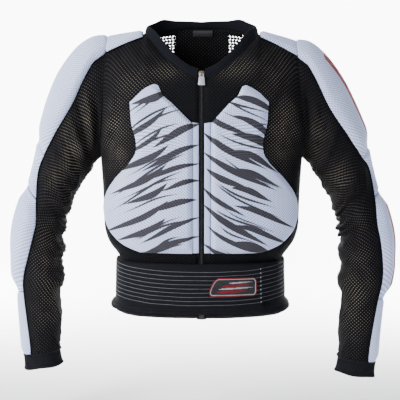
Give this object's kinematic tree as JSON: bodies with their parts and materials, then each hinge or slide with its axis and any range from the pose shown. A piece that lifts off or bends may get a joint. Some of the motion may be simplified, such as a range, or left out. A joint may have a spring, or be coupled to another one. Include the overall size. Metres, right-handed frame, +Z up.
{
  "type": "chest protector jacket",
  "caption": "Long-sleeved protective jacket with padded chest, shoulders, elbows and forearms, front zip, stand collar and ribbed kidney belt, held in its worn form.",
  "frame": {"origin": "middle of the neck, level with the tops of the shoulders, where the jacket hangs on its wearer", "axes": "+X across to the wearer's left, -Y forward out of the chest, +Z up"},
  "size_m": [0.7731, 0.2511, 0.7144],
  "materials": {
    "body_net": "black warp-knit net, matt",
    "pad_mesh": "white air-mesh over foam",
    "placket_knit": "smooth white knit",
    "collar_knit": "black stretch knit, soft sheen",
    "cuff_knit": "black stretch knit",
    "belt_elastic": "ribbed black elastic",
    "zip_nylon": "black nylon coil on woven tape",
    "zip_metal": "cast zinc, satin",
    "puller_metal": "satin, pale grey",
    "badge_rubber": "moulded, with a red edge"
  },
  "bodies": {
    "jacket": {"front_panel_right": "body_net", "front_panel_left": "body_net", "back_panel": "body_net", "chest_pad_right": "pad_mesh", "chest_pad_left": "pad_mesh", "placket_right": "placket_knit", "placket_left": "placket_knit", "shoulder_strip_right": "pad_mesh", "shoulder_strip_left": "pad_mesh", "sleeve_right": "body_net", "sleeve_left": "body_net", "cuff_right": "cuff_knit", "cuff_left": "cuff_knit", "upper_arm_pad_right": "pad_mesh", "upper_arm_pad_left": "pad_mesh", "elbow_link_right": "pad_mesh", "elbow_link_left": "pad_mesh", "elbow_pad_right": "pad_mesh", "elbow_pad_left": "pad_mesh", "forearm_pad_right": "pad_mesh", "forearm_pad_left": "pad_mesh", "collar": "collar_knit", "belt_band": "belt_elastic", "belt_flap": "belt_elastic", "belt_badge": "badge_rubber", "zip_tape_right": "zip_nylon", "zip_tape_left": "zip_nylon", "zip_chain": "zip_nylon", "zip_slider": "zip_metal", "zip_end_box": "zip_metal"},
    "puller": {"zip_puller": "puller_metal"}
  },
  "joints": [
    {"name": "puller_swing", "type": "hinge", "parent": "jacket", "child": "puller", "pos_m": [0, -0.10183, -0.06585], "axis": [-1, 0, 0], "range_deg": [0, 150]}
  ]
}
